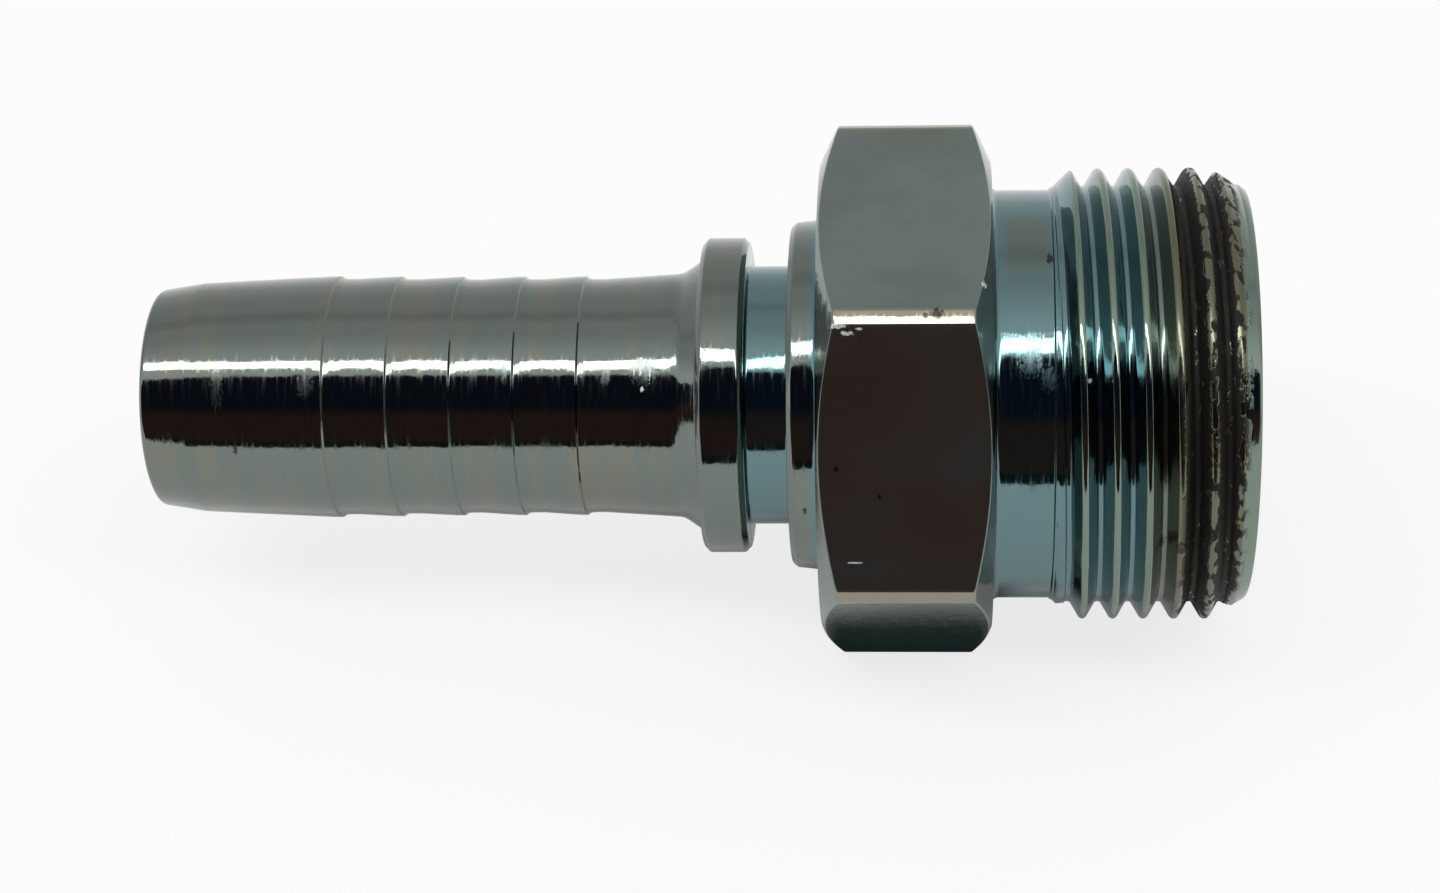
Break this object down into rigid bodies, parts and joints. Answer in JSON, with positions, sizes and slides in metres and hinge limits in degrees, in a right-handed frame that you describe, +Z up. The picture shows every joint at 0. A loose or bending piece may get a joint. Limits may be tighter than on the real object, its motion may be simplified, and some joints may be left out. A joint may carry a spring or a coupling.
{
  "type": "hose barb tail",
  "caption": "One-piece hose fitting with a barbed hose tail, ferrule collars, a spanner hexagon and a male threaded stud with a cone seat.",
  "frame": {"origin": "on the axis at the tip of the barbed tail, where the bore opens", "axes": "+X along the axis from the tip to the end of the stud, +Z up and square to the hexagon flat that the part lies on"},
  "size_m": [0.0723, 0.0366, 0.0318],
  "materials": {
    "zinc_plated_steel": "turned steel under bright zinc plating"
  },
  "bodies": {
    "root": {"threaded_hose_tail": "zinc_plated_steel"}
  },
  "joints": []
}
